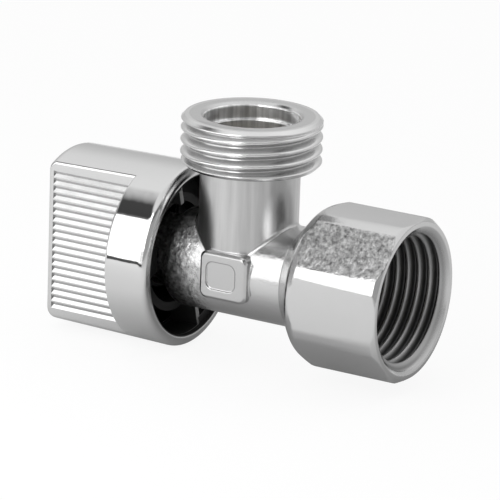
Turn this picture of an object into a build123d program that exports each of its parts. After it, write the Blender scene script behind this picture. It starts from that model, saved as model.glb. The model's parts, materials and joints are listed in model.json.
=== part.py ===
from build123d import *
from math import cos, radians, sin
import os

# Quarter-turn angle valve: a forged body with an internal pipe thread in line with the stem, an
# external pipe thread square to it, a ball with an L-shaped port, and a winged knob.
# The origin is on the inlet axis where the inlet thread starts. X runs out of the inlet, Z up
# the outlet, and the front, with the pad, faces -Y. Stations are distances along X from the
# outlet axis, positive towards the inlet.

# Overall layout
inlet_reach = 27.0
entry_depth = 1.1
outlet_height = 23.2
barrel_diameter = 15.0
neck_diameter = 14.8
neck_root_round = 0.6

# Pipe threads, as plain walls at the crests: G 1/2
thread_major = 20.955
thread_minor = 18.631
inlet_thread_length = 10.0
runout_length = 1.5
runout_diameter = 21.4

# Inlet socket
socket_length = 13.3
socket_flats = 23.4
socket_round = 24.5
socket_sides = 8
shoulder_length = 5.0
shoulder_crest_setback = 1.8
shoulder_crest_diameter = 22.7
shoulder_round = 2.2
face_chamfer = 0.6
entry_diameter = 22.0

# Outlet head
head_height = 7.4
head_face_diameter = 19.7
head_root_diameter = 19.6
outlet_bore = 14.2
outlet_bore_depth = 2.5
outlet_mouth_chamfer = 0.5
head_bore = 13.0
head_bore_floor = 15.0

# Left end of the body, inside the knob
bulb_end = 11.0
bulb_round = 2.0
spigot_diameter = 10.6
spigot_end = 14.2
stop_diameter = 14.6
stop_end = 13.9
quarter_turn = 90.0
lug_angle = 110.0
lug_sweep = 50.0
stop_clearance = 1.0

# Pad on the front
pad_width = 8.0
pad_height = 7.2
pad_offset_x = 0.7
pad_offset_z = 0.4
pad_front = 8.3
pad_corner = 1.2
pad_recess_margin = 1.5
pad_recess_depth = 0.3
pad_recess_shift = -0.4
pad_edge_chamfer = 0.4

# Ball and its two seats
ball_diameter = 11.5
ball_port = 6.0
ball_flat = 5.3
chamber_diameter = 12.0
slot_width = 2.4
slot_depth = 1.6
seat_gap = 0.1
fit_gap = 0.05
seat_nose_diameter = 7.9
seat_flange_length = 2.0
outlet_seat_diameter = 10.9
seal_section = 1.2
inlet_retainer_sink = 1.6
outlet_retainer_sink = 1.1
inlet_retainer_diameter = 12.4
inlet_retainer_bore = 8.4
outlet_retainer_diameter = 11.6
outlet_retainer_bore = 8.0
retainer_slot = 1.6
retainer_slot_depth = 1.2

# Stem and its gland
stem_diameter = 6.0
running_gap = 0.05
collar_diameter = 9.0
collar_thickness = 1.3
collar_clearance = 0.1
collar_bore_gap = 0.15
tongue_diameter = 8.0
thrust_thickness = 0.7
o_ring_section = 0.9
inner_groove_station = -9.1
outer_groove_station = -10.5
groove_width = 1.1
packing_diameter = 8.2
packing_start = 11.4
packing_length = 1.2
gland_washer_thickness = 0.4
gland_head_flats = 8.0
gland_head_length = 1.5
gland_bore_gap = 0.1
square_side = 4.2
square_gap = 0.05
square_end = 25.0
tongue_gap = 0.1

# Knob
knob_diameter = 27.8
knob_draft = 0.4
knob_mouth = 9.2
band_end = 16.4
knob_end = 31.4
skin_thickness = 1.7
mouth_round = 1.0
end_round = 1.5
edge_round = 0.5
wing_thickness = 12.0
web_thickness = 1.8
hub_bore = 15.4
hub_wall = 1.3
hub_front = 12.3
root_overlap = 0.3
ledge_width = 1.1
ledge_front = 9.9
rib_thickness = 0.8
rib_front = 10.0
rib_angle = 106.0
wing_skin = 1.9
boss_diameter = 11.4
gland_pocket = 10.2
stop_gap = 0.2

# Fine grip ribs on both flats of the wing
grip_border = 1.3
grip_pitch = 1.14
grip_groove_width = 0.95
grip_depth = 0.32
grip_margin = 0.9

# Fastening of the knob
insert_diameter = 7.6
insert_length = 8.3
insert_start = 16.9
insert_gap = 0.05
screw_shank = 3.0
screw_head = 5.6
screw_head_height = 2.0
screw_length = 8.0
screw_hole_gap = 0.2
screw_head_round = 0.7
screw_slot = 0.9
screw_slot_reach = 3.6
screw_slot_depth = 1.1
washer_thickness = 0.5
washer_diameter = 6.2
seat_wall = 1.8
recess_diameter = 6.8
cap_diameter = 8.6
cap_thickness = 1.0
cap_round = 0.3
cap_skirt = 0.8
cap_skirt_wall = 0.6

# How far a cutting form runs past the face it cuts, and how near two places count as the same
overshoot = 1.0
same_place = 0.01

# Values that follow from the sizes above
barrel_r = barrel_diameter / 2
neck_r = neck_diameter / 2
chamber_r = chamber_diameter / 2
ball_r = ball_diameter / 2
port_r = ball_port / 2
stem_r = stem_diameter / 2
stem_bore_r = stem_r + running_gap
spigot_r = spigot_diameter / 2
knob_r = knob_diameter / 2
socket_face = inlet_reach + entry_depth
socket_start = socket_face - socket_length
shoulder_start = socket_start - shoulder_length
shoulder_crest = socket_start - shoulder_crest_setback
head_start = outlet_height - head_height
thread_lead = (thread_major - head_face_diameter) / 2
thread_foot = (thread_major - head_root_diameter) / 2
inlet_floor = inlet_reach - inlet_thread_length - runout_length
seat_r = ball_r + seat_gap
seat_flange = chamber_r + seat_gap
seat_end = seat_flange + seat_flange_length
retainer_start = seat_end + seal_section
inlet_retainer_end = inlet_floor - inlet_retainer_sink
outlet_retainer_end = head_bore_floor - outlet_retainer_sink
collar_front = ball_flat + collar_clearance
collar_back = collar_front + collar_thickness
thrust_floor = collar_back + thrust_thickness
groove_r = stem_r - o_ring_section - running_gap
gland_start = packing_start + packing_length + gland_washer_thickness
gland_end = spigot_end + gland_head_length
stop_rib_angle = lug_angle + lug_sweep + stop_clearance
stop_rib_sweep = 180 - quarter_turn - lug_sweep - 2 * stop_clearance
hub_r = hub_bore / 2
hub_outer_r = hub_r + hub_wall
skin_r = knob_r - skin_thickness
web_front = band_end - web_thickness
insert_end = insert_start + insert_length
screw_seat = insert_end + seat_wall
wing_r = wing_thickness / 2
wing_end_r = knob_r - knob_draft
band_r = knob_r - knob_draft * (band_end - knob_mouth) / (knob_end - knob_mouth)
flat_half_height = (wing_end_r ** 2 - wing_r ** 2) ** 0.5
grip_steps = int((flat_half_height - grip_border - grip_groove_width / 2) / grip_pitch)
screw_top = screw_seat + washer_thickness + screw_head_height
cap_floor = knob_end - cap_thickness

along = Plane(origin=(-inlet_reach, 0, 0), x_dir=(1, 0, 0), z_dir=(0, -1, 0))
inlet_axis = Axis((-inlet_reach, 0, 0), (1, 0, 0))
outlet_axis = Axis((-inlet_reach, 0, 0), (0, 0, 1))


def across(station):
    """Plane square to the inlet axis at a station; its x is Y, its y is Z, its normal is +X."""
    return Plane(origin=(station - inlet_reach, 0, 0), x_dir=(0, 1, 0), z_dir=(1, 0, 0))


def level(height):
    """Plane square to the outlet axis at a height; its x is X and its y is Y."""
    return Plane(origin=(-inlet_reach, 0, height), x_dir=(1, 0, 0), z_dir=(0, 0, 1))


def ring_edges(shape, station, radius):
    """Circular edges of one radius about the inlet axis in the cross plane at a station."""
    place = station - inlet_reach
    return [
        edge
        for edge in shape.edges().filter_by(GeomType.CIRCLE)
        if abs(edge.arc_center.X - place) < same_place
        and abs(edge.radius - radius) < same_place
        and abs(edge.arc_center.Y) < same_place
        and abs(edge.arc_center.Z) < same_place
    ]


def disc_slice(radius, start, sweep):
    """Filled slice of a disc from a start angle over a sweep, as a sketch to add."""
    first = (radius * cos(radians(start)), radius * sin(radians(start)))
    last = (radius * cos(radians(start + sweep)), radius * sin(radians(start + sweep)))
    with BuildSketch() as wedge:
        with BuildLine():
            Line((0, 0), first)
            CenterArc((0, 0), radius, start, sweep)
            Line(last, (0, 0))
        make_face()
    return wedge.sketch


os.makedirs("parts", exist_ok=True)

# Body: one forging, turned and bored from three sides
with BuildPart() as body:
    # Socket with its sloping shoulder, turned round
    with BuildSketch(along):
        with BuildLine():
            Polyline(
                (shoulder_start, 0),
                (shoulder_start, barrel_r),
                (shoulder_crest, shoulder_crest_diameter / 2),
                (socket_start, socket_round / 2),
                (socket_face - face_chamfer, socket_round / 2),
                (socket_face, socket_round / 2 - face_chamfer),
                (socket_face, 0),
                close=True,
            )
        make_face()
    revolve(axis=inlet_axis)
    fillet(ring_edges(body.part, shoulder_crest, shoulder_crest_diameter / 2), shoulder_round)
    # Wrench flats
    with BuildSketch(across(shoulder_start - overshoot)):
        RegularPolygon(socket_flats / 2, socket_sides, major_radius=False, rotation=180 / socket_sides)
    extrude(amount=socket_face - shoulder_start + 2 * overshoot, mode=Mode.INTERSECT)
    # Barrel, rounded shoulder and gland spigot
    with BuildSketch(along):
        with BuildLine():
            Polyline(
                (-spigot_end, 0),
                (-spigot_end, spigot_r),
                (-bulb_end, spigot_r),
                (-bulb_end, barrel_r),
                (shoulder_start + overshoot, barrel_r),
                (shoulder_start + overshoot, 0),
                close=True,
            )
        make_face()
    revolve(axis=inlet_axis)
    fillet(ring_edges(body.part, -bulb_end, barrel_r), bulb_round)
    # Neck and threaded head
    with BuildSketch(along):
        with BuildLine():
            Polyline(
                (0, 0),
                (neck_r, 0),
                (neck_r, head_start),
                (head_root_diameter / 2, head_start),
                (thread_major / 2, head_start + thread_foot),
                (thread_major / 2, outlet_height - thread_lead),
                (head_face_diameter / 2, outlet_height),
                (0, outlet_height),
                close=True,
            )
        make_face()
    revolve(axis=outlet_axis)
    # Small round in the corner between neck and barrel
    neck_root = [
        edge
        for edge in body.part.edges()
        if edge.geom_type not in (GeomType.CIRCLE, GeomType.LINE)
        and abs(edge.center().X + inlet_reach) < neck_r
    ]
    fillet(neck_root, neck_root_round)
    # Raised square pad with a shallow recess in its face
    with BuildSketch(along.offset(pad_front)):
        with Locations((pad_offset_x, pad_offset_z)):
            RectangleRounded(pad_width, pad_height, pad_corner)
    extrude(amount=-pad_front)
    pad_face = [
        face for face in body.part.faces() if abs(face.center().Y + pad_front) < same_place
    ][0]
    chamfer(pad_face.outer_wire().edges(), pad_edge_chamfer)
    with BuildSketch(along.offset(pad_front)):
        with Locations((pad_offset_x + pad_recess_shift, pad_offset_z)):
            RectangleRounded(
                pad_width - 2 * pad_recess_margin,
                pad_height - 2 * pad_recess_margin,
                pad_corner,
            )
    extrude(amount=-pad_recess_depth, mode=Mode.SUBTRACT)
    # Two stop lugs on the spigot
    for lug_start in (lug_angle, lug_angle + 180):
        with BuildSketch(across(-stop_end)):
            add(disc_slice(stop_diameter / 2, lug_start, lug_sweep))
        extrude(amount=stop_end - bulb_end + bulb_round)
    # Bores from the inlet side: entry, thread, run-out, retainer thread and ball chamber
    with BuildSketch(along):
        with BuildLine():
            Polyline(
                (-thrust_floor, 0),
                (-thrust_floor, collar_diameter / 2 + collar_bore_gap),
                (-collar_front, collar_diameter / 2 + collar_bore_gap),
                (-collar_front, chamber_r),
                (retainer_start, chamber_r),
                (retainer_start, inlet_retainer_diameter / 2 + fit_gap),
                (inlet_floor, inlet_retainer_diameter / 2 + fit_gap),
                (inlet_floor, runout_diameter / 2),
                (inlet_floor + runout_length, runout_diameter / 2),
                (inlet_floor + runout_length, thread_minor / 2),
                (inlet_reach, thread_minor / 2),
                (socket_face, entry_diameter / 2),
                (socket_face, 0),
                close=True,
            )
        make_face()
    revolve(axis=inlet_axis, mode=Mode.SUBTRACT)
    # Bores from the outlet side: mouth, head bore, retainer thread and seat pocket
    with BuildSketch(along):
        with BuildLine():
            Polyline(
                (0, 0),
                (outlet_seat_diameter / 2 + fit_gap, 0),
                (outlet_seat_diameter / 2 + fit_gap, seat_end),
                (outlet_retainer_diameter / 2 + fit_gap, seat_end),
                (outlet_retainer_diameter / 2 + fit_gap, head_bore_floor),
                (head_bore / 2, head_bore_floor),
                (head_bore / 2, outlet_height - outlet_bore_depth),
                (outlet_bore / 2, outlet_height - outlet_bore_depth),
                (outlet_bore / 2, outlet_height - outlet_mouth_chamfer),
                (outlet_bore / 2 + outlet_mouth_chamfer, outlet_height),
                (0, outlet_height),
                close=True,
            )
        make_face()
    revolve(axis=outlet_axis, mode=Mode.SUBTRACT)
    # Bores from the left end: packing chamber and stem bore
    with BuildSketch(along):
        with BuildLine():
            Polyline(
                (-spigot_end, 0),
                (-spigot_end, packing_diameter / 2 + fit_gap),
                (-packing_start, packing_diameter / 2 + fit_gap),
                (-packing_start, stem_bore_r),
                (0, stem_bore_r),
                (0, 0),
                close=True,
            )
        make_face()
    revolve(axis=inlet_axis, mode=Mode.SUBTRACT)
body.part.label = "body"
export_step(body.part, "parts/body.step")

# Ball: end port towards the inlet, side port up, slot for the stem at the back
with BuildPart() as ball:
    with BuildSketch(along):
        with BuildLine():
            CenterArc((0, 0), ball_r, 0, 180)
            Line((-ball_r, 0), (ball_r, 0))
        make_face()
    revolve(axis=inlet_axis)
    with BuildSketch(across(-ball_flat)):
        Circle(ball_r)
    extrude(amount=-ball_r, mode=Mode.SUBTRACT)
    with BuildSketch(across(ball_r)):
        Circle(port_r)
    extrude(amount=-ball_r, mode=Mode.SUBTRACT)
    with BuildSketch(level(ball_r)):
        Circle(port_r)
    extrude(amount=-ball_r, mode=Mode.SUBTRACT)
    with BuildSketch(along):
        with BuildLine():
            CenterArc((0, 0), port_r, 0, 180)
            Line((-port_r, 0), (port_r, 0))
        make_face()
    revolve(axis=inlet_axis, mode=Mode.SUBTRACT)
    with BuildSketch(across(-ball_flat)):
        Rectangle(ball_diameter, slot_width)
    extrude(amount=slot_depth, mode=Mode.SUBTRACT)
ball.part.label = "ball"
export_step(ball.part, "parts/ball.step")

# Stem: tongue, collar, shaft with two seal grooves, square end with a tapped hole
with BuildPart() as stem:
    with BuildSketch(along):
        with BuildLine():
            Polyline(
                (-square_end, 0),
                (-square_end, stem_r),
                (outer_groove_station - groove_width / 2, stem_r),
                (outer_groove_station - groove_width / 2, groove_r),
                (outer_groove_station + groove_width / 2, groove_r),
                (outer_groove_station + groove_width / 2, stem_r),
                (inner_groove_station - groove_width / 2, stem_r),
                (inner_groove_station - groove_width / 2, groove_r),
                (inner_groove_station + groove_width / 2, groove_r),
                (inner_groove_station + groove_width / 2, stem_r),
                (-collar_back, stem_r),
                (-collar_back, collar_diameter / 2),
                (-collar_front, collar_diameter / 2),
                (-collar_front, 0),
                close=True,
            )
        make_face()
    revolve(axis=inlet_axis)
    with BuildSketch(across(-insert_start)):
        Circle(stem_diameter)
        Rectangle(square_side, square_side, mode=Mode.SUBTRACT)
    extrude(amount=insert_start - square_end, mode=Mode.SUBTRACT)
    with BuildSketch(across(-collar_front)):
        Circle(tongue_diameter / 2)
        Rectangle(tongue_diameter, slot_width - 2 * tongue_gap, mode=Mode.INTERSECT)
    extrude(amount=slot_depth)
    with BuildSketch(across(-square_end)):
        Circle(screw_shank / 2)
    extrude(amount=screw_length, mode=Mode.SUBTRACT)
stem.part.label = "stem"
export_step(stem.part, "parts/stem.step")

# Knob: plated moulding, a cup over the valve's left end and a flat wing to turn it by
with BuildPart() as grip_cutter:
    with BuildSketch(across(-knob_end + grip_margin)):
        for groove in range(-grip_steps, grip_steps + 1):
            groove_height = groove * grip_pitch
            with BuildLine():
                Polyline(
                    (-wing_r, groove_height - grip_groove_width / 2),
                    (-wing_r + grip_depth, groove_height),
                    (-wing_r, groove_height + grip_groove_width / 2),
                    (-wing_r - overshoot, groove_height + grip_groove_width / 2),
                    (-wing_r - overshoot, groove_height - grip_groove_width / 2),
                    close=True,
                )
            make_face()
    extrude(amount=knob_end - grip_margin - band_end)

with BuildPart() as knob:
    with BuildSketch(along):
        with BuildLine():
            Polyline(
                (-knob_end, 0),
                (-knob_end, wing_end_r),
                (-knob_mouth, knob_r),
                (-knob_mouth, 0),
                close=True,
            )
        make_face()
    revolve(axis=inlet_axis)
    fillet(ring_edges(knob.part, -knob_end, wing_end_r), end_round)
    # Flats that leave the wing standing, with their long and end edges eased
    for side in (-1, 1):
        with BuildSketch(across(-knob_end)):
            with Locations((side * (wing_r + knob_r / 2), 0)):
                Rectangle(knob_r, knob_diameter)
        extrude(amount=knob_end - band_end, mode=Mode.SUBTRACT)
    outer_edges = [
        edge for edge in ring_edges(knob.part, -band_end, band_r) if abs(edge.center().Y) > wing_r
    ] + [
        edge
        for edge in knob.part.edges()
        if abs(abs(edge.center().Y) - wing_r) < same_place
        and edge.center().X < -band_end - inlet_reach - same_place
    ]
    fillet(outer_edges, edge_round)
    # Cup
    with BuildSketch(across(-knob_mouth)):
        Circle(skin_r)
    extrude(amount=knob_mouth - web_front, mode=Mode.SUBTRACT)
    fillet(ring_edges(knob.part, -knob_mouth, knob_r), mouth_round)
    # Grip grooves on both flats
    add(grip_cutter.part, mode=Mode.SUBTRACT)
    add(grip_cutter.part.rotate(inlet_axis, 180), mode=Mode.SUBTRACT)
    # Hub tube around the spigot, its two stop ribs, the rim ledges and the ribs that tie it in
    with BuildSketch(across(-web_front)):
        Circle(hub_outer_r)
        Circle(hub_r, mode=Mode.SUBTRACT)
        for rib_start in (stop_rib_angle, stop_rib_angle + 180):
            add(disc_slice(hub_r + hub_wall / 2, rib_start, stop_rib_sweep))
        Circle(spigot_r + stop_gap, mode=Mode.SUBTRACT)
        for low_rib in (rib_angle - 90, rib_angle + 90):
            with Locations(Location((0, 0), low_rib)):
                with Locations(((hub_outer_r + skin_r) / 2, 0)):
                    Rectangle(skin_r - hub_outer_r + 2 * root_overlap, rib_thickness)
    extrude(amount=web_front - hub_front)
    with BuildSketch(across(-web_front)):
        for ledge_end in (rib_angle, rib_angle + 180):
            add(disc_slice(skin_r + root_overlap, ledge_end, 180 - rib_angle))
        Circle(skin_r - ledge_width, mode=Mode.SUBTRACT)
    extrude(amount=web_front - ledge_front)
    with BuildSketch(across(-web_front)):
        for high_rib in (rib_angle, rib_angle + 180):
            with Locations(Location((0, 0), high_rib)):
                with Locations(((hub_outer_r + skin_r) / 2, 0)):
                    Rectangle(skin_r - hub_outer_r + 2 * root_overlap, rib_thickness)
    extrude(amount=web_front - rib_front)
    # Pocket for the gland nut, bore for the insert, hole and recess for the screw and its cap
    with BuildSketch(along):
        with BuildLine():
            Polyline(
                (-web_front, 0),
                (-web_front, gland_pocket / 2),
                (-band_end, gland_pocket / 2),
                (-band_end, insert_diameter / 2 + insert_gap),
                (-insert_end, insert_diameter / 2 + insert_gap),
                (-insert_end, screw_shank / 2 + screw_hole_gap),
                (-screw_seat, screw_shank / 2 + screw_hole_gap),
                (-screw_seat, recess_diameter / 2),
                (-cap_floor, recess_diameter / 2),
                (-cap_floor, cap_diameter / 2 + insert_gap),
                (-knob_end, cap_diameter / 2 + insert_gap),
                (-knob_end, 0),
                close=True,
            )
        make_face()
    revolve(axis=inlet_axis, mode=Mode.SUBTRACT)
    # Cored pockets of the wing, above and below the boss
    with BuildSketch(across(-web_front)):
        Circle(knob_r - wing_skin)
        Rectangle(wing_thickness - 2 * wing_skin, knob_diameter, mode=Mode.INTERSECT)
        Circle(boss_diameter / 2, mode=Mode.SUBTRACT)
    extrude(amount=web_front - knob_end + wing_skin, mode=Mode.SUBTRACT)
knob.part.label = "knob"
export_step(knob.part, "parts/knob.step")

# Seats: soft rings with a hollow face on the ball, a flange in the bore and a backing seal
with BuildPart() as inlet_seat:
    with BuildSketch(along):
        with BuildLine():
            Polyline(
                (0, port_r),
                (0, seat_nose_diameter / 2),
                (seat_flange, seat_nose_diameter / 2),
                (seat_flange, chamber_r - fit_gap),
                (seat_end, chamber_r - fit_gap),
                (seat_end, port_r),
                close=True,
            )
        make_face()
        Circle(seat_r, mode=Mode.SUBTRACT)
    revolve(axis=inlet_axis)
inlet_seat.part.label = "inlet_seat"
export_step(inlet_seat.part, "parts/inlet_seat.step")

with BuildPart() as outlet_seat:
    with BuildSketch(along):
        with BuildLine():
            Polyline(
                (port_r, 0),
                (seat_nose_diameter / 2, 0),
                (seat_nose_diameter / 2, seat_flange),
                (outlet_seat_diameter / 2, seat_flange),
                (outlet_seat_diameter / 2, seat_end),
                (port_r, seat_end),
                close=True,
            )
        make_face()
        Circle(seat_r, mode=Mode.SUBTRACT)
    revolve(axis=outlet_axis)
outlet_seat.part.label = "outlet_seat"
export_step(outlet_seat.part, "parts/outlet_seat.step")

# Retainers: threaded rings screwed down on the seats, slotted for a tool at the open end
with BuildPart() as inlet_retainer:
    with BuildSketch(across(retainer_start)):
        Circle(inlet_retainer_diameter / 2)
        Circle(inlet_retainer_bore / 2, mode=Mode.SUBTRACT)
    extrude(amount=inlet_retainer_end - retainer_start)
    with BuildSketch(across(inlet_retainer_end)):
        Rectangle(inlet_retainer_diameter + overshoot, retainer_slot)
    extrude(amount=-retainer_slot_depth, mode=Mode.SUBTRACT)
inlet_retainer.part.label = "inlet_retainer"
export_step(inlet_retainer.part, "parts/inlet_retainer.step")

with BuildPart() as outlet_retainer:
    with BuildSketch(level(retainer_start)):
        Circle(outlet_retainer_diameter / 2)
        Circle(outlet_retainer_bore / 2, mode=Mode.SUBTRACT)
    extrude(amount=outlet_retainer_end - retainer_start)
    with BuildSketch(level(outlet_retainer_end)):
        Rectangle(outlet_retainer_diameter + overshoot, retainer_slot)
    extrude(amount=-retainer_slot_depth, mode=Mode.SUBTRACT)
outlet_retainer.part.label = "outlet_retainer"
export_step(outlet_retainer.part, "parts/outlet_retainer.step")

# Round seals: two behind the seats, two on the stem
seat_seal_station = seat_end + seal_section / 2
inlet_seal_r = chamber_r - fit_gap - seal_section / 2
outlet_seal_r = outlet_seat_diameter / 2 - seal_section / 2
stem_seal_r = stem_r - o_ring_section / 2
seal_places = {
    "inlet_seat_o_ring": (inlet_axis, (seat_seal_station, inlet_seal_r), seal_section),
    "outlet_seat_o_ring": (outlet_axis, (outlet_seal_r, seat_seal_station), seal_section),
    "stem_o_ring_inner": (inlet_axis, (inner_groove_station, stem_seal_r), o_ring_section),
    "stem_o_ring_outer": (inlet_axis, (outer_groove_station, stem_seal_r), o_ring_section),
}
for seal_name, (seal_axis, seal_centre, section) in seal_places.items():
    with BuildPart() as seal:
        with BuildSketch(along):
            with Locations(seal_centre):
                Circle(section / 2)
        revolve(axis=seal_axis)
    seal.part.label = seal_name
    export_step(seal.part, f"parts/{seal_name}.step")

# Plain rings on the stem and under the screw: station of the outer end, length, bore and outside
packing_end = packing_start + packing_length
washer_end = screw_seat + washer_thickness
ring_places = {
    "thrust_washer": (thrust_floor, thrust_thickness, stem_bore_r, collar_diameter / 2),
    "packing_ring": (packing_end, packing_length, stem_bore_r, packing_diameter / 2),
    "gland_washer": (gland_start, gland_washer_thickness, stem_bore_r, packing_diameter / 2),
    "screw_washer": (washer_end, washer_thickness, screw_shank / 2, washer_diameter / 2),
}
for ring_name, (ring_station, ring_length, ring_bore_r, ring_outer_r) in ring_places.items():
    with BuildPart() as ring:
        with BuildSketch(across(-ring_station)):
            Circle(ring_outer_r)
            Circle(ring_bore_r, mode=Mode.SUBTRACT)
        extrude(amount=ring_length)
    ring.part.label = ring_name
    export_step(ring.part, f"parts/{ring_name}.step")

# Gland nut: threaded skirt and six-sided head round the stem
with BuildPart() as gland_nut:
    with BuildSketch(across(-gland_start)):
        Circle(packing_diameter / 2)
    extrude(amount=gland_start - spigot_end)
    with BuildSketch(across(-spigot_end)):
        RegularPolygon(gland_head_flats / 2, 6, major_radius=False)
    extrude(amount=-gland_head_length)
    with BuildSketch(across(-gland_start)):
        Circle(stem_r + gland_bore_gap)
    extrude(amount=gland_start - gland_end, mode=Mode.SUBTRACT)
gland_nut.part.label = "gland_nut"
export_step(gland_nut.part, "parts/gland_nut.step")

# Insert: brass bush with a square hole, moulded into the knob's boss
with BuildPart() as knob_insert:
    with BuildSketch(across(-insert_start)):
        Circle(insert_diameter / 2)
        Rectangle(square_side + 2 * square_gap, square_side + 2 * square_gap, mode=Mode.SUBTRACT)
    extrude(amount=-insert_length)
knob_insert.part.label = "knob_insert"
export_step(knob_insert.part, "parts/knob_insert.step")

# Screw: pan head with a crosswise slot, shank into the stem's end
with BuildPart() as knob_screw:
    with BuildSketch(across(-screw_seat - washer_thickness)):
        Circle(screw_head / 2)
    extrude(amount=-screw_head_height)
    fillet(ring_edges(knob_screw.part, -screw_top, screw_head / 2), screw_head_round)
    with BuildSketch(across(-screw_seat - washer_thickness)):
        Circle(screw_shank / 2 - fit_gap)
    extrude(amount=screw_length)
    with BuildSketch(across(-screw_top)):
        Rectangle(screw_slot, screw_head)
        Rectangle(screw_head, screw_slot)
        Circle(screw_slot_reach / 2, mode=Mode.INTERSECT)
    extrude(amount=screw_slot_depth, mode=Mode.SUBTRACT)
knob_screw.part.label = "knob_screw"
export_step(knob_screw.part, "parts/knob_screw.step")

# Cap: round plug pressed into the wing's end
with BuildPart() as knob_cap:
    with BuildSketch(across(-cap_floor)):
        Circle(cap_diameter / 2)
    extrude(amount=-cap_thickness)
    fillet(ring_edges(knob_cap.part, -knob_end, cap_diameter / 2), cap_round)
    with BuildSketch(across(-cap_floor)):
        Circle(recess_diameter / 2 - fit_gap)
        Circle(recess_diameter / 2 - fit_gap - cap_skirt_wall, mode=Mode.SUBTRACT)
    extrude(amount=cap_skirt)
knob_cap.part.label = "knob_cap"
export_step(knob_cap.part, "parts/knob_cap.step")
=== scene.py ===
import json
from math import cos, pi, radians, sin

import bpy
from mathutils import Matrix, Vector


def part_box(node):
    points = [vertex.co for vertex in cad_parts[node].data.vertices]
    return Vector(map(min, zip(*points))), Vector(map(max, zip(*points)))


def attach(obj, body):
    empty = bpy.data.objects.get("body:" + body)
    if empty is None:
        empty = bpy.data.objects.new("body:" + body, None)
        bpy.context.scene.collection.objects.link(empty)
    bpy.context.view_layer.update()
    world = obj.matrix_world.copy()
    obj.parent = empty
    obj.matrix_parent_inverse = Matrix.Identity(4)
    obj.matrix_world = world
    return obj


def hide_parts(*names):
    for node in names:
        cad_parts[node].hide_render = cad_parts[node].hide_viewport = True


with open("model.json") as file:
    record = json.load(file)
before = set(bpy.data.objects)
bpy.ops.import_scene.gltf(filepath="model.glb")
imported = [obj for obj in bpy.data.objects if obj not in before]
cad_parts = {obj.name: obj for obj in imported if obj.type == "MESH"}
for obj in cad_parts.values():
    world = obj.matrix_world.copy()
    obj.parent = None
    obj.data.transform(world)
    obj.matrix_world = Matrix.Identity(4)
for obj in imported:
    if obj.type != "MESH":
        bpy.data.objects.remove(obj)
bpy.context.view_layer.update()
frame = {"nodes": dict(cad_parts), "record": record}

# The valve hangs on its inlet thread, so nothing of it stands on the floor. Lengths are in metres,
# in the valve's own frame: X out of the inlet, Z up the outlet, the crossing of the two axes at
# inlet_reach behind the origin.
mm = 0.001
inlet_reach = 27.0 * mm
crossing = Vector((-inlet_reach, 0, 0))

# Camera: a long lens in front of the valve, a little above it and to its right, turned slightly
# about its own line of sight.
view_azimuth = radians(30.244)
view_elevation = radians(16.874)
view_roll = radians(-2.068)
view_distance = 590.94 * mm
view_side_step = 0.43 * mm
view_lift = 2.398 * mm
lens_px = 4000
photo_px = 500
sensor_mm = 36
nearest_seen = 0.01
farthest_seen = 20

back = Vector((
    sin(view_azimuth) * cos(view_elevation),
    -cos(view_azimuth) * cos(view_elevation),
    sin(view_elevation),
))
level_right = Vector((cos(view_azimuth), sin(view_azimuth), 0))
level_up = back.cross(level_right)
right = level_right * cos(view_roll) - level_up * sin(view_roll)
up = level_right * sin(view_roll) + level_up * cos(view_roll)
camera_place = crossing + right * view_side_step + up * view_lift + back * view_distance
camera_data = bpy.data.cameras.new("camera")
camera_data.sensor_width = sensor_mm
camera_data.lens = lens_px / photo_px * sensor_mm
camera_data.clip_start = nearest_seen
camera_data.clip_end = farthest_seen
camera = bpy.data.objects.new("camera", camera_data)
camera.matrix_world = Matrix.Translation(camera_place) @ Matrix((right, up, back)).transposed().to_4x4()
bpy.context.scene.collection.objects.link(camera)
bpy.context.scene.camera = camera

# Floor: a wide white sheet under the lowest point of the knob. The camera sees it nearly paper
# white, with the valve's shadow left on it. The plating mirrors it a little darker, most of all
# in a painted shadow: a soft dark pool painted right under the valve, which only mirrored rays see.
floor_width = 6
floor_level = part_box("knob")[0].z - 0.3 * mm
floor_grey = 0.88
floor_roughness = 0.9
camera_glow = 0.9
mirrored_glow = 0.25
# Painted shadow on the floor for mirrored rays: where its soft pool lies, how far it stretches along X,
# where it fades and how dark it gets.
painted_shadow_middle = Vector((-18.6, 12.0, 0)) * mm
painted_shadow_stretch = 1.6
painted_shadow_start = 12 * mm
painted_shadow_end = 45 * mm
painted_shadow_depth = 0.44


def shader(name):
    """A material with its own nodes: the material, its tree, its shader and Object coordinates."""
    material = bpy.data.materials.new(name)
    material.use_nodes = True
    tree = material.node_tree
    surface = tree.nodes["Principled BSDF"]
    place = tree.nodes.new("ShaderNodeTexCoord")
    return material, tree, surface, place.outputs["Object"]


def feed(tree, socket, value):
    """Give a socket a value, which is a number or another node's output."""
    if isinstance(value, (int, float)):
        socket.default_value = value
    else:
        tree.links.new(value, socket)


def number_of(tree, kind, *values):
    """A Math node of a kind on one to three values."""
    node = tree.nodes.new("ShaderNodeMath")
    node.operation = kind
    for index, value in enumerate(values):
        feed(tree, node.inputs[index], value)
    return node.outputs["Value"]


def fade_over(tree, value, start, end, low=0.0, high=1.0):
    """A value eased from low to high as another one goes from start to end."""
    node = tree.nodes.new("ShaderNodeMapRange")
    node.interpolation_type = "SMOOTHSTEP"
    node.inputs["From Min"].default_value = start
    node.inputs["From Max"].default_value = end
    node.inputs["To Min"].default_value = low
    node.inputs["To Max"].default_value = high
    tree.links.new(value, node.inputs["Value"])
    return node.outputs["Result"]


def mix_of(tree, share, below, above):
    """A value that goes from below to above as a share goes from 0 to 1."""
    node = tree.nodes.new("ShaderNodeMix")
    node.data_type = "FLOAT"
    for index, value in ((0, share), (2, below), (3, above)):
        feed(tree, node.inputs[index], value)
    return node.outputs[0]


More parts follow.
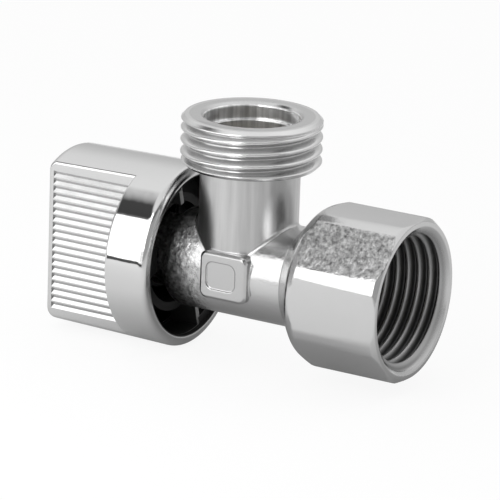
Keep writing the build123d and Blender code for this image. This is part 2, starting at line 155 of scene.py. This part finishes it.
bpy.ops.object.select_all(action="DESELECT")
bpy.ops.mesh.primitive_plane_add(size=floor_width, location=(0, 0, floor_level))
floor = bpy.context.object
floor.name = "floor"
floor_paint, tree, surface, place = shader("floor_paint")
surface.inputs["Roughness"].default_value = floor_roughness
surface.inputs["Specular IOR Level"].default_value = 0.0
ray = tree.nodes.new("ShaderNodeLightPath").outputs
centred = tree.nodes.new("ShaderNodeMapping")
centred.inputs["Location"].default_value = (-painted_shadow_middle.x / painted_shadow_stretch, -painted_shadow_middle.y, 0)
centred.inputs["Scale"].default_value = (1 / painted_shadow_stretch, 1, 0)
tree.links.new(place, centred.inputs["Vector"])
away = tree.nodes.new("ShaderNodeVectorMath")
away.operation = "LENGTH"
tree.links.new(centred.outputs["Vector"], away.inputs[0])
# Painted shadow: for glossy rays only, the floor's colour and its glow are darkened in the pool.
painted_shadow = fade_over(tree, away.outputs["Value"], painted_shadow_start, painted_shadow_end, painted_shadow_depth, 1.0)
mirror_shadowed = mix_of(tree, ray["Is Glossy Ray"], 1.0, painted_shadow)
paint = tree.nodes.new("ShaderNodeMix")
paint.data_type = "RGBA"
paint.inputs[6].default_value = (0, 0, 0, 1)
paint.inputs[7].default_value = (floor_grey, floor_grey, floor_grey, 1)
tree.links.new(mirror_shadowed, paint.inputs[0])
tree.links.new(paint.outputs[2], surface.inputs["Base Color"])
glow = 0.0
for kind, share in (
    ("Is Camera Ray", camera_glow),
    ("Is Glossy Ray", mirrored_glow),
    ("Is Transmission Ray", mirrored_glow),
):
    glow = number_of(tree, "MULTIPLY_ADD", ray[kind], share, glow)
white = tree.nodes.new("ShaderNodeEmission")
tree.links.new(mirror_shadowed, white.inputs["Strength"])
both = tree.nodes.new("ShaderNodeMixShader")
tree.links.new(glow, both.inputs["Fac"])
tree.links.new(surface.outputs["BSDF"], both.inputs[1])
tree.links.new(white.outputs["Emission"], both.inputs[2])
tree.links.new(both.outputs["Shader"], tree.nodes["Material Output"].inputs["Surface"])
floor.data.materials.append(floor_paint)

# Room: a plain grey room, lighter behind and overhead, with a dark beam across in front. Three lit
# cards stand in a row before the valve, over a dark strip at their foot that only the plating sees:
# painted shade for the shadow line where the cards meet the floor.
room_strength = 1.7
front_stops = ((-1, 0.3), (0.05, 0.3), (0.64, 0.3), (0.68, 0.045), (0.8, 0.05), (0.86, 0.66), (1.0, 0.6))
back_stops = ((-1, 0.35), (0.0, 0.35), (0.29, 0.42), (0.6, 0.6), (0.88, 0.68), (1.0, 0.6))
front_end = -0.03
back_start = 0.05

world = bpy.data.worlds.new("studio")
bpy.context.scene.world = world
world.use_nodes = True
room = world.node_tree
room_light = room.nodes["Background"]
direction = room.nodes.new("ShaderNodeTexCoord")
parts = room.nodes.new("ShaderNodeSeparateXYZ")
room.links.new(direction.outputs["Generated"], parts.inputs["Vector"])


def room_ramp(source, stops, low=-1.0, high=1.0):
    """A grey ramp over one component of the direction, from low to high."""
    reach = room.nodes.new("ShaderNodeMapRange")
    reach.inputs["From Min"].default_value = low
    reach.inputs["From Max"].default_value = high
    room.links.new(source, reach.inputs["Value"])
    ramp = room.nodes.new("ShaderNodeValToRGB")
    ramp.color_ramp.elements.remove(ramp.color_ramp.elements[1])
    for index, (place, grey) in enumerate(stops):
        share = (place - low) / (high - low)
        if index:
            stop = ramp.color_ramp.elements.new(share)
        else:
            stop = ramp.color_ramp.elements[0]
            stop.position = share
        stop.color = (grey, grey, grey, 1)
    room.links.new(reach.outputs["Result"], ramp.inputs["Fac"])
    return ramp.outputs["Color"]


front_greys = room_ramp(parts.outputs["Z"], front_stops)
back_greys = room_ramp(parts.outputs["Z"], back_stops)
turn = room.nodes.new("ShaderNodeMapRange")
turn.inputs["From Min"].default_value = front_end
turn.inputs["From Max"].default_value = back_start
room.links.new(parts.outputs["Y"], turn.inputs["Value"])
room_mix = room.nodes.new("ShaderNodeMix")
room_mix.data_type = "RGBA"
room.links.new(turn.outputs["Result"], room_mix.inputs[0])
room.links.new(front_greys, room_mix.inputs[6])
room.links.new(back_greys, room_mix.inputs[7])
room.links.new(room_mix.outputs[2], room_light.inputs["Color"])
room_light.inputs["Strength"].default_value = room_strength

card_ahead = 150 * mm
card_foot = 9 * mm


def light_card(name, left, right, low, high, brightness):
    """An upright lit card in front of the valve, facing it, that the camera doesn't see.

    Left and right are measured along X from the outlet's axis.
    """
    bpy.ops.object.light_add(
        type="AREA",
        location=((left + right) / 2 - inlet_reach, -card_ahead, (low + high) / 2),
        rotation=(radians(90), 0, 0),
    )
    card = bpy.context.object
    card.name = name
    card.data.shape = "RECTANGLE"
    card.data.size = right - left
    card.data.size_y = high - low
    card.data.energy = brightness * pi * (right - left) * (high - low)
    card.visible_camera = False


light_card(
    "wide_card", left=-260 * mm, right=-40 * mm, low=floor_level + card_foot, high=178 * mm, brightness=1.7
)
light_card(
    "low_card", left=-14 * mm, right=18 * mm, low=floor_level + card_foot, high=30 * mm, brightness=1.5
)
light_card("high_card", left=-34 * mm, right=26 * mm, low=32 * mm, high=230 * mm, brightness=4.4)

# Painted shade: a dark strip under the cards, hidden from the camera and casting no shadow, that shows only
# in reflections.
shade_strip_middle = -150 * mm
shade_strip_length = 300 * mm
shade_strip_grey = 0.08
bpy.ops.object.select_all(action="DESELECT")
bpy.ops.mesh.primitive_plane_add(size=1, location=(shade_strip_middle, -card_ahead, floor_level + card_foot / 2))
shade_strip = bpy.context.object
shade_strip.name = "shade_strip"
for vertex in shade_strip.data.vertices:
    vertex.co = (vertex.co.x * shade_strip_length, 0, vertex.co.y * card_foot)
shade_strip.visible_camera = False
shade_strip.visible_shadow = False
shade_strip_paint, tree, surface, place = shader("shade_strip_paint")
surface.inputs["Base Color"].default_value = (shade_strip_grey, shade_strip_grey, shade_strip_grey, 1)
shade_strip.data.materials.append(shade_strip_paint)


# Body: one hot brass forging, bored and turned, then nickel and chrome plated all over. The
# plate is bright on the turned and clean pressed faces. It is dull and grainy where the forging
# was left as it came out of the die: two of the socket's eight flats and the end under the knob.
merge_reach = 0.001 * mm


def copy_of(node_name, piece_name):
    """A merged copy of a node's mesh as a new object, selected alone and active."""
    mesh = frame["nodes"][node_name].data.copy()
    piece = bpy.data.objects.new(piece_name, mesh)
    bpy.context.scene.collection.objects.link(piece)
    bpy.ops.object.select_all(action="DESELECT")
    piece.select_set(True)
    bpy.context.view_layer.objects.active = piece
    bpy.ops.mesh.customdata_custom_splitnormals_clear()
    bpy.ops.object.mode_set(mode="EDIT")
    bpy.ops.mesh.select_all(action="SELECT")
    bpy.ops.mesh.remove_doubles(threshold=merge_reach)
    bpy.ops.mesh.select_all(action="DESELECT")
    bpy.ops.object.mode_set(mode="OBJECT")
    return piece


def select_nothing(mesh):
    """Take every vertex, edge and face out of the selection."""
    for part in (mesh.vertices, mesh.edges, mesh.polygons):
        part.foreach_set("select", [False] * len(part))


def delete_faces(piece, test):
    """Delete the active piece's faces whose corners all pass a test."""
    mesh = piece.data
    select_nothing(mesh)
    passed = [test(vertex.co) for vertex in mesh.vertices]
    for face in mesh.polygons:
        face.select = all(passed[corner] for corner in face.vertices)
    bpy.ops.object.mode_set(mode="EDIT")
    bpy.ops.mesh.delete(type="FACE")
    bpy.ops.object.mode_set(mode="OBJECT")


def inlet_radius(point):
    """Distance of a point from the inlet axis."""
    return (point.y ** 2 + point.z ** 2) ** 0.5


def outlet_radius(point):
    """Distance of a point from the outlet axis."""
    return ((point.x + inlet_reach) ** 2 + point.y ** 2) ** 0.5


body_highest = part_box("body")[1]
head_height = 7.4 * mm
head_top = body_highest.z
head_foot = head_top - head_height
head_face_r = 19.7 / 2 * mm
head_foot_r = 19.6 / 2 * mm
face_station = body_highest.x
entry_r = 11.0 * mm
inlet_thread_length = 10.0 * mm
thread_pitch = 25.4 / 14 * mm
thread_major_r = 20.955 / 2 * mm
thread_minor_r = 18.631 / 2 * mm
touch = 0.01 * mm

forged_body = copy_of("body", "forged_body")
delete_faces(forged_body, lambda point: (
    outlet_radius(point) > head_foot_r - touch and point.z > head_foot - touch
))
delete_faces(forged_body, lambda point: (
    thread_minor_r - touch < inlet_radius(point) < entry_r + touch and point.x > -inlet_thread_length - touch
))

thread_columns = 240
thread_row = 0.08 * mm
crest_wear = 0.02 * mm
column_gap = 0.0005 * mm
thread_middle_r = (thread_major_r + thread_minor_r) / 2
thread_half_depth = thread_major_r - crest_wear - thread_middle_r


def ridge(along, crest_place, turn_angle):
    """Rounded thread form, from -1 in a root to 1 on a crest, at a place along the axis."""
    turns = (along - crest_place) / thread_pitch - turn_angle / (2 * pi)
    from_crest = abs(turns - round(turns))
    return sin(pi / 2 * (1 - 4 * from_crest))


def ease(value, start, end):
    """Smooth step from 0 at start to 1 at end."""
    share = min(max((value - start) / (end - start), 0), 1)
    return share * share * (3 - 2 * share)


def wrapped_wall(name, start, end, place_of):
    """A fine grid wrapped round an axis: place_of gives each point from its place and angle."""
    rows = round((end - start) / thread_row)
    bpy.ops.object.select_all(action="DESELECT")
    bpy.ops.mesh.primitive_grid_add(x_subdivisions=thread_columns, y_subdivisions=rows, size=2)
    wall = bpy.context.object
    wall.name = name
    for vertex in wall.data.vertices:
        angle = (vertex.co.x + 1) * pi
        along = start + (vertex.co.y + 1) / 2 * (end - start)
        vertex.co = place_of(along, angle)
    bpy.ops.object.mode_set(mode="EDIT")
    bpy.ops.mesh.select_all(action="SELECT")
    bpy.ops.mesh.remove_doubles(threshold=column_gap)
    bpy.ops.mesh.select_all(action="DESELECT")
    bpy.ops.object.mode_set(mode="OBJECT")
    return wall


# The outlet's thread is cut right-handed on the turned head. It fades into a plain ring at the
# top and stops just over the head's underside.
outlet_crest = 21.891 * mm
top_plain = 0.55 * mm
foot_plain = 0.35 * mm
thread_fade = 0.6 * mm
rim_gap = 0.02 * mm


def outlet_wall_point(along, angle):
    """Point of the outlet's thread at a height and an angle."""
    form = ridge(along, outlet_crest, angle)
    plain = max(
        ease(along, head_top - top_plain - thread_fade, head_top - top_plain),
        1 - ease(along, head_foot + foot_plain, head_foot + foot_plain + thread_fade),
    )
    form += (1 - form) * plain
    radius = min(
        thread_middle_r + thread_half_depth * form,
        head_foot_r + (along - head_foot),
        head_face_r + (head_top - along),
    )
    return Vector((radius * cos(angle) - inlet_reach, radius * sin(angle), along))


outlet_wall = wrapped_wall("outlet_wall", head_foot + rim_gap, head_top - rim_gap, outlet_wall_point)

# The inlet's thread is tapped right-handed behind a short countersink, down to a run-out groove.
inlet_crest = 0.3 * mm
inlet_fade = 0.8 * mm


def inlet_wall_point(along, angle):
    """Point of the inlet's thread at a place along X and an angle, its faces turned inwards."""
    form = ridge(along, inlet_crest, -angle)
    depth = ease(along, -inlet_thread_length, -inlet_thread_length + inlet_fade)
    radius = thread_middle_r - thread_half_depth * form * depth + thread_half_depth * (1 - depth)
    mouth = thread_minor_r + (entry_r - thread_minor_r) * max(along, 0) / face_station
    radius = max(radius, mouth - rim_gap)
    return Vector((along, radius * cos(-angle), radius * sin(-angle)))


inlet_wall = wrapped_wall("inlet_wall", -inlet_thread_length, face_station - rim_gap, inlet_wall_point)

bpy.ops.object.select_all(action="DESELECT")
for part in (outlet_wall, inlet_wall, forged_body):
    part.select_set(True)
bpy.context.view_layer.objects.active = forged_body
bpy.ops.object.join()


def bridge_rims(piece, test):
    """Close the open rims that lie where a test says, with one band of faces."""
    mesh = piece.data
    select_nothing(mesh)
    uses = {}
    for face in mesh.polygons:
        for key in face.edge_keys:
            uses[key] = uses.get(key, 0) + 1
    for edge in mesh.edges:
        ends = [mesh.vertices[corner].co for corner in edge.vertices]
        if uses.get(edge.key, 0) == 1 and all(test(end) for end in ends):
            edge.select = True
            for corner in edge.vertices:
                mesh.vertices[corner].select = True
    bpy.ops.object.mode_set(mode="EDIT")
    bpy.ops.mesh.select_mode(type="EDGE")
    bpy.ops.mesh.bridge_edge_loops()
    bpy.ops.mesh.select_all(action="DESELECT")
    bpy.ops.object.mode_set(mode="OBJECT")


near = 0.1 * mm
sharp_angle = radians(28)
bridge_rims(forged_body, lambda point: point.z > head_top - near)
bridge_rims(forged_body, lambda point: (
    abs(point.z - head_foot) < near and outlet_radius(point) > head_foot_r - near
))
bridge_rims(forged_body, lambda point: point.x > face_station - near)
bridge_rims(forged_body, lambda point: (
    abs(point.x + inlet_thread_length) < near and inlet_radius(point) > thread_minor_r - near
))
bpy.ops.object.mode_set(mode="EDIT")
bpy.ops.mesh.select_all(action="SELECT")
bpy.ops.mesh.normals_make_consistent(inside=False)
bpy.ops.object.mode_set(mode="OBJECT")
bpy.ops.object.shade_smooth_by_angle(angle=sharp_angle)
bpy.ops.object.modifier_add(type="WEIGHTED_NORMAL")
forged_body.modifiers[0].keep_sharp = True
bpy.ops.object.modifier_apply(modifier=forged_body.modifiers[0].name)


def reach_of(tree, first, second):
    """Length of the diagonal over two lengths."""
    squares = [number_of(tree, "MULTIPLY", length, length) for length in (first, second)]
    return number_of(tree, "SQRT", number_of(tree, "ADD", *squares))


def split_place(tree, place):
    """The three parts of a place."""
    spot = tree.nodes.new("ShaderNodeSeparateXYZ")
    tree.links.new(place, spot.inputs["Vector"])
    return [spot.outputs[name] for name in ("X", "Y", "Z")]


def product_of(tree, first, *others):
    """Several values multiplied together."""
    for other in others:
        first = number_of(tree, "MULTIPLY", first, other)
    return first


def all_but(tree, share):
    """What a share leaves of the whole."""
    return number_of(tree, "SUBTRACT", 1.0, share)


grain_middle = 0.5
grain_spread = (0.3, 0.7)


def grain_of(tree, place, size, detail):
    """Fractal noise with grains of a size, mostly within grain_spread."""
    node = tree.nodes.new("ShaderNodeTexNoise")
    node.inputs["Scale"].default_value = 1 / size
    node.inputs["Detail"].default_value = detail
    tree.links.new(place, node.inputs["Vector"])
    return node.outputs["Fac"]


def relief_of(tree, surface, heights, last=None):
    """Stack bumps, each a pattern with its height in metres, onto the surface's normal."""
    for height, depth in heights:
        node = tree.nodes.new("ShaderNodeBump")
        node.inputs["Distance"].default_value = depth
        tree.links.new(height, node.inputs["Height"])
        if last:
            tree.links.new(last, node.inputs["Normal"])
        last = node.outputs["Normal"]
    tree.links.new(last, surface.inputs["Normal"])


def rounded_edges(tree, radius, samples=8):
    """The surface's normal with its edges rounded off."""
    node = tree.nodes.new("ShaderNodeBevel")
    node.samples = samples
    node.inputs["Radius"].default_value = radius
    return node.outputs["Normal"]


body_plate, tree, surface, place = shader("body_plate")
surface.inputs["Metallic"].default_value = 1.0
along_x, along_y, along_z = split_place(tree, place)
from_inlet = reach_of(tree, along_y, along_z)
from_outlet = reach_of(tree, number_of(tree, "ADD", along_x, inlet_reach), along_y)

# Where each kind of skin lies. Every pair gives where it has faded out and where it is full.
# Rough as forged: the flats that face up to the front and down to the back, and the end under
# the knob.
flat_reach = 23.4 / 2 * mm * 2 ** 0.5
flat_edge = (flat_reach - 0.2 * mm, flat_reach - 0.04 * mm)
socket_start = (-16.5 * mm, -15.0 * mm)
knob_shade = (-28.0 * mm, -34.0 * mm)
knob_shade_top = (13.5 * mm, 13.0 * mm)
neck_foot = (2.0 * mm, 3.0 * mm)
neck_top = (16.0 * mm, 15.7 * mm)
neck_wall = (8.0 * mm, 7.6 * mm)
slant = number_of(tree, "ABSOLUTE", number_of(tree, "SUBTRACT", along_z, along_y))
rough_flat = product_of(tree, fade_over(tree, slant, *flat_edge), fade_over(tree, along_x, *socket_start))
on_neck = product_of(
    tree,
    fade_over(tree, along_z, *neck_foot),
    fade_over(tree, along_z, *neck_top),
    fade_over(tree, from_outlet, *neck_wall),
)
under_knob = product_of(
    tree,
    fade_over(tree, along_x, *knob_shade),
    fade_over(tree, along_z, *knob_shade_top),
    all_but(tree, on_neck),
)
rough_skin = number_of(tree, "MAXIMUM", rough_flat, under_knob)

# Down the two bores, on the outlet's thread and in its roots. The bores get a duller plate; the thread roots
# and the inlet's tapped thread are painted darker, painted shade in the hollows, in the tone below
tapped_wall = (10.9 * mm, 10.7 * mm)
tapped_end = (-13.0 * mm, -12.5 * mm)
tapped_mouth = (1.0 * mm, 0.0 * mm)
tapped_depth = (9.6 * mm, 10.2 * mm)
bore_wall = (7.3 * mm, 7.2 * mm)
bore_foot = (12.0 * mm, 13.0 * mm)
head_start = (15.6 * mm, 15.8 * mm)
head_wall = (9.2 * mm, 9.3 * mm)
root_depth = (10.2 * mm, 9.5 * mm)
root_top = (22.6 * mm, 22.3 * mm)
in_inlet = product_of(
    tree,
    fade_over(tree, from_inlet, *tapped_wall),
    fade_over(tree, along_x, *tapped_end),
    fade_over(tree, along_x, *tapped_mouth),
)
in_tapped_root = product_of(tree, in_inlet, fade_over(tree, from_inlet, *tapped_depth))
in_outlet = product_of(tree, fade_over(tree, from_outlet, *bore_wall), fade_over(tree, along_z, *bore_foot))
on_thread = product_of(tree, fade_over(tree, along_z, *head_start), fade_over(tree, from_outlet, *head_wall))
in_root = product_of(
    tree, on_thread, fade_over(tree, from_outlet, *root_depth), fade_over(tree, along_z, *root_top)
)

# Lightly dimpled on the barrel, and less on the socket
barrel_wall = (13.2 * mm, 12.7 * mm)
barrel_face = (-1.5 * mm, -2.5 * mm)
barrel_start = (-15.0 * mm, -16.5 * mm)
socket_dimpling = 0.2
barrel_dimpling = 0.4
pad_wall = (-7.6 * mm, -7.8 * mm)
pad_side = (-18.0 * mm, -19.0 * mm)
on_pad = product_of(tree, fade_over(tree, along_y, *pad_wall), fade_over(tree, along_x, *pad_side))
on_barrel = product_of(
    tree,
    fade_over(tree, from_inlet, *barrel_wall),
    fade_over(tree, along_x, *barrel_face),
    all_but(tree, on_neck),
    fade_over(tree, along_x, *barrel_start, socket_dimpling, barrel_dimpling),
    all_but(tree, on_pad),
)
skin = number_of(tree, "MAXIMUM", on_barrel, rough_skin)

plate_grey = 0.57
tone = plate_grey
# Painted light and shade in the plate's colour: the neck and the pad are painted darker, and the outlet's
# thread lighter, for how the cards light them; the outlet's bore is painted lighter than the outside; the
# thread roots and the inlet's tapped thread are painted darker, painted shade in the hollows.
for mask, grey in (
    (on_neck, 0.48),
    (on_pad, 0.5),
    (on_thread, 0.68),
    (in_root, 0.46),
    (in_outlet, 0.74),
    (in_inlet, 0.42),
    (in_tapped_root, 0.14),
):
    tone = mix_of(tree, mask, tone, grey)

# Blotches on the rough skin, and upright draw marks on the neck and down the outlet's bore
blotch_size = 0.6 * mm
blotch_middle = 0.6
blotch_depth = 2.2
streak_size = 0.8 * mm
streak_squeeze = 0.06
bore_streaking = 1.5
neck_streaking = 0.5
blotches = number_of(tree, "ADD", grain_of(tree, place, blotch_size, detail=8), -blotch_middle)
blotches = product_of(tree, blotches, blotch_depth, rough_skin)
tone = product_of(tree, tone, number_of(tree, "ADD", blotches, 1.0))
drawn = tree.nodes.new("ShaderNodeMapping")
drawn.inputs["Scale"].default_value = (1, 1, streak_squeeze)
tree.links.new(place, drawn.inputs["Vector"])
streaks = grain_of(tree, drawn.outputs["Vector"], streak_size, detail=4)
streaks = number_of(tree, "SUBTRACT", streaks, grain_middle)
streaked = number_of(
    tree, "MAXIMUM", product_of(tree, in_outlet, bore_streaking), product_of(tree, on_neck, neck_streaking)
)
streaks = product_of(tree, streaks, streaked)
tone = product_of(tree, tone, number_of(tree, "ADD", streaks, 1.0))
grey_tone = tree.nodes.new("ShaderNodeCombineColor")
for channel in ("Red", "Green", "Blue"):
    tree.links.new(tone, grey_tone.inputs[channel])
tree.links.new(grey_tone.outputs["Color"], surface.inputs["Base Color"])

# Relief: a soft swell all over, with dimples and pits on the forged skin
swell_size = 3.5 * mm
swell_depth = 0.015 * mm
dimple_size = 1.3 * mm
dimple_depth = 0.08 * mm
pit_size = 0.35 * mm
pit_depth = 0.055 * mm
body_edge = 0.3 * mm
dimples = number_of(tree, "SUBTRACT", grain_of(tree, place, dimple_size, detail=2), grain_middle)
pits = number_of(tree, "SUBTRACT", grain_of(tree, place, pit_size, detail=6), grain_middle)
relief_of(tree, surface, (
    (grain_of(tree, place, swell_size, detail=2), swell_depth),
    (product_of(tree, dimples, skin), dimple_depth),
    (product_of(tree, pits, skin), pit_depth),
), rounded_edges(tree, body_edge))

pit_reach = 0.2
bright_roughness = 0.14
worn_roughness = 0.2
worn = fade_over(tree, pits, -pit_reach, pit_reach, bright_roughness, worn_roughness)
dull = 0.0
for mask, roughness in (
    (rough_skin, 0.14),
    (on_neck, 0.14),
    (in_inlet, 0.28),
    (in_outlet, 0.14),
    (on_thread, 0.05),
    (on_barrel, 0.15),
):
    dull = number_of(tree, "MAXIMUM", dull, product_of(tree, mask, roughness))
tree.links.new(number_of(tree, "ADD", worn, dull), surface.inputs["Roughness"])
forged_body.data.materials.clear()
forged_body.data.materials.append(body_plate)
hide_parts("body")
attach(forged_body, "valve_body")

# Knob: one plastic moulding, chrome plated outside. Inside the cup it is near black and not
# metallic, but for the ends of its ribs. The cap in the wing's end is plated the same.
knob_grey = 0.6
cup_inside_grey = 0.018
cup_inside_gloss = 0.2
cup_inside_roughness = 0.5
cup_wall = (12.45 * mm, 12.3 * mm)
cup_floor = (-42.2 * mm, -42.0 * mm)
rib_front = -37.0 * mm
rib_end = (0.06 * mm, 0.04 * mm)
rib_end_plating = 0.5
rim_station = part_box("knob")[1].x
rim_start = (rim_station - 1.4 * mm, rim_station - 1.1 * mm)
rim_wall = (12.3 * mm, 12.5 * mm)
rim_round = 1.0 * mm
knob_swell_size = 4.0 * mm
knob_swell_depth = 0.02 * mm
haze_size = 2.0 * mm
haze = (0.03, 0.06)
wing_start = (-43.2 * mm, -43.7 * mm)
wing_haze = 0.1

knob_plate, tree, surface, place = shader("knob_plate")
along_x, along_y, along_z = split_place(tree, place)
from_axis = reach_of(tree, along_y, along_z)
from_rib_end = number_of(tree, "ABSOLUTE", number_of(tree, "SUBTRACT", along_x, rib_front))
on_rib_end = fade_over(tree, from_rib_end, *rib_end, 0.0, rib_end_plating)
inside = product_of(
    tree,
    fade_over(tree, from_axis, *cup_wall),
    fade_over(tree, along_x, *cup_floor),
    all_but(tree, on_rib_end),
)
plate_tone = tree.nodes.new("ShaderNodeMix")
plate_tone.data_type = "RGBA"
plate_tone.inputs[6].default_value = (knob_grey, knob_grey, knob_grey, 1)
plate_tone.inputs[7].default_value = (cup_inside_grey, cup_inside_grey, cup_inside_grey, 1)
tree.links.new(inside, plate_tone.inputs[0])
tree.links.new(plate_tone.outputs[2], surface.inputs["Base Color"])
tree.links.new(all_but(tree, inside), surface.inputs["Metallic"])
surface.inputs["Specular IOR Level"].default_value = cup_inside_gloss
at_rim = product_of(tree, fade_over(tree, along_x, *rim_start), fade_over(tree, from_axis, *rim_wall))
plain = tree.nodes.new("ShaderNodeNewGeometry")
rim_normal = tree.nodes.new("ShaderNodeMix")
rim_normal.data_type = "VECTOR"
tree.links.new(at_rim, rim_normal.inputs[0])
tree.links.new(plain.outputs["Normal"], rim_normal.inputs[4])
tree.links.new(rounded_edges(tree, rim_round), rim_normal.inputs[5])
knob_swell = grain_of(tree, place, knob_swell_size, detail=2)
relief_of(tree, surface, ((knob_swell, knob_swell_depth),), rim_normal.outputs[1])
hazy = fade_over(tree, grain_of(tree, place, haze_size, detail=3), *grain_spread, *haze)
hazy = number_of(tree, "ADD", hazy, product_of(tree, fade_over(tree, along_x, *wing_start), wing_haze))
hazy = number_of(tree, "ADD", hazy, product_of(tree, inside, cup_inside_roughness))
tree.links.new(hazy, surface.inputs["Roughness"])
for name in ("knob", "knob_cap"):
    frame["nodes"][name].data.materials.clear()
    frame["nodes"][name].data.materials.append(knob_plate)

# The working parts inside: turned brass, a plated ball, white plastic rings, black seals and a
# zinc plated screw. Each finish has its colour, how metallic it is and its roughness.
inner_finishes = {
    "bare_brass": ((0.62, 0.56, 0.42), 1.0, 0.3),
    "ball_plate": ((0.82, 0.82, 0.82), 1.0, 0.06),
    "seat_ring": ((0.85, 0.85, 0.83), 0.0, 0.45),
    "seal_rubber": ((0.02, 0.02, 0.02), 0.0, 0.6),
    "screw_steel": ((0.6, 0.6, 0.61), 1.0, 0.3),
}
turning_size = 0.5 * mm
turning_depth = 0.01 * mm
turning_dullness = 0.08
inner_slots = {row["node"]: row["material_slot"] for row in frame["record"]["subparts"]}
for finish_name, (colour, metal, roughness) in inner_finishes.items():
    finish, tree, surface, place = shader(finish_name)
    surface.inputs["Base Color"].default_value = (*colour, 1)
    surface.inputs["Metallic"].default_value = metal
    turned = grain_of(tree, place, turning_size, detail=3)
    relief_of(tree, surface, ((turned, turning_depth),))
    turned_roughness = fade_over(tree, turned, *grain_spread, roughness, roughness + turning_dullness)
    tree.links.new(turned_roughness, surface.inputs["Roughness"])
    for node_name, slot_name in inner_slots.items():
        if slot_name == finish_name:
            frame["nodes"][node_name].data.materials.clear()
            frame["nodes"][node_name].data.materials.append(finish)

bpy.context.scene.view_settings.view_transform = "Standard"
